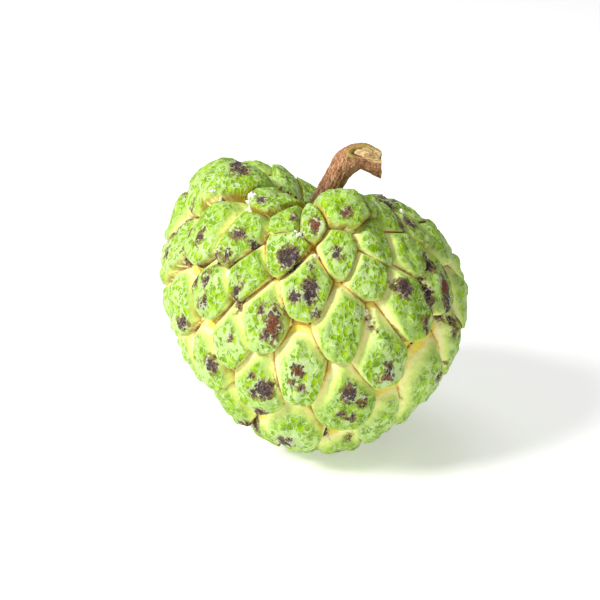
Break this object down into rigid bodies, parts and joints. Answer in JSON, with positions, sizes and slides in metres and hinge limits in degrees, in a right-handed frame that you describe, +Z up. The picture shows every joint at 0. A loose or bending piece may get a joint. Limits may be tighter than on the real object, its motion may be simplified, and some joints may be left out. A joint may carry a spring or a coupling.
{
  "type": "custard apple",
  "caption": "Heart-shaped fruit with a spiral of rounded, overlapping skin segments, a hollow at the top and a short bent woody stalk.",
  "frame": {"origin": "on the flat spot that the fruit rests on, straight below the hollow at the top", "axes": "+Z up, from the resting spot through the middle of the fruit to the hollow; +X towards the side that the stalk bends to; -Y is the front"},
  "size_m": [0.088, 0.085, 0.0909],
  "materials": {
    "skin": "bumpy green skin with a pale waxy bloom, cream creases and dark scabs",
    "bark": "dry reddish-brown bark with fine lengthwise cracks"
  },
  "bodies": {
    "root": {"fruit": "skin", "stem": "bark"}
  },
  "joints": []
}
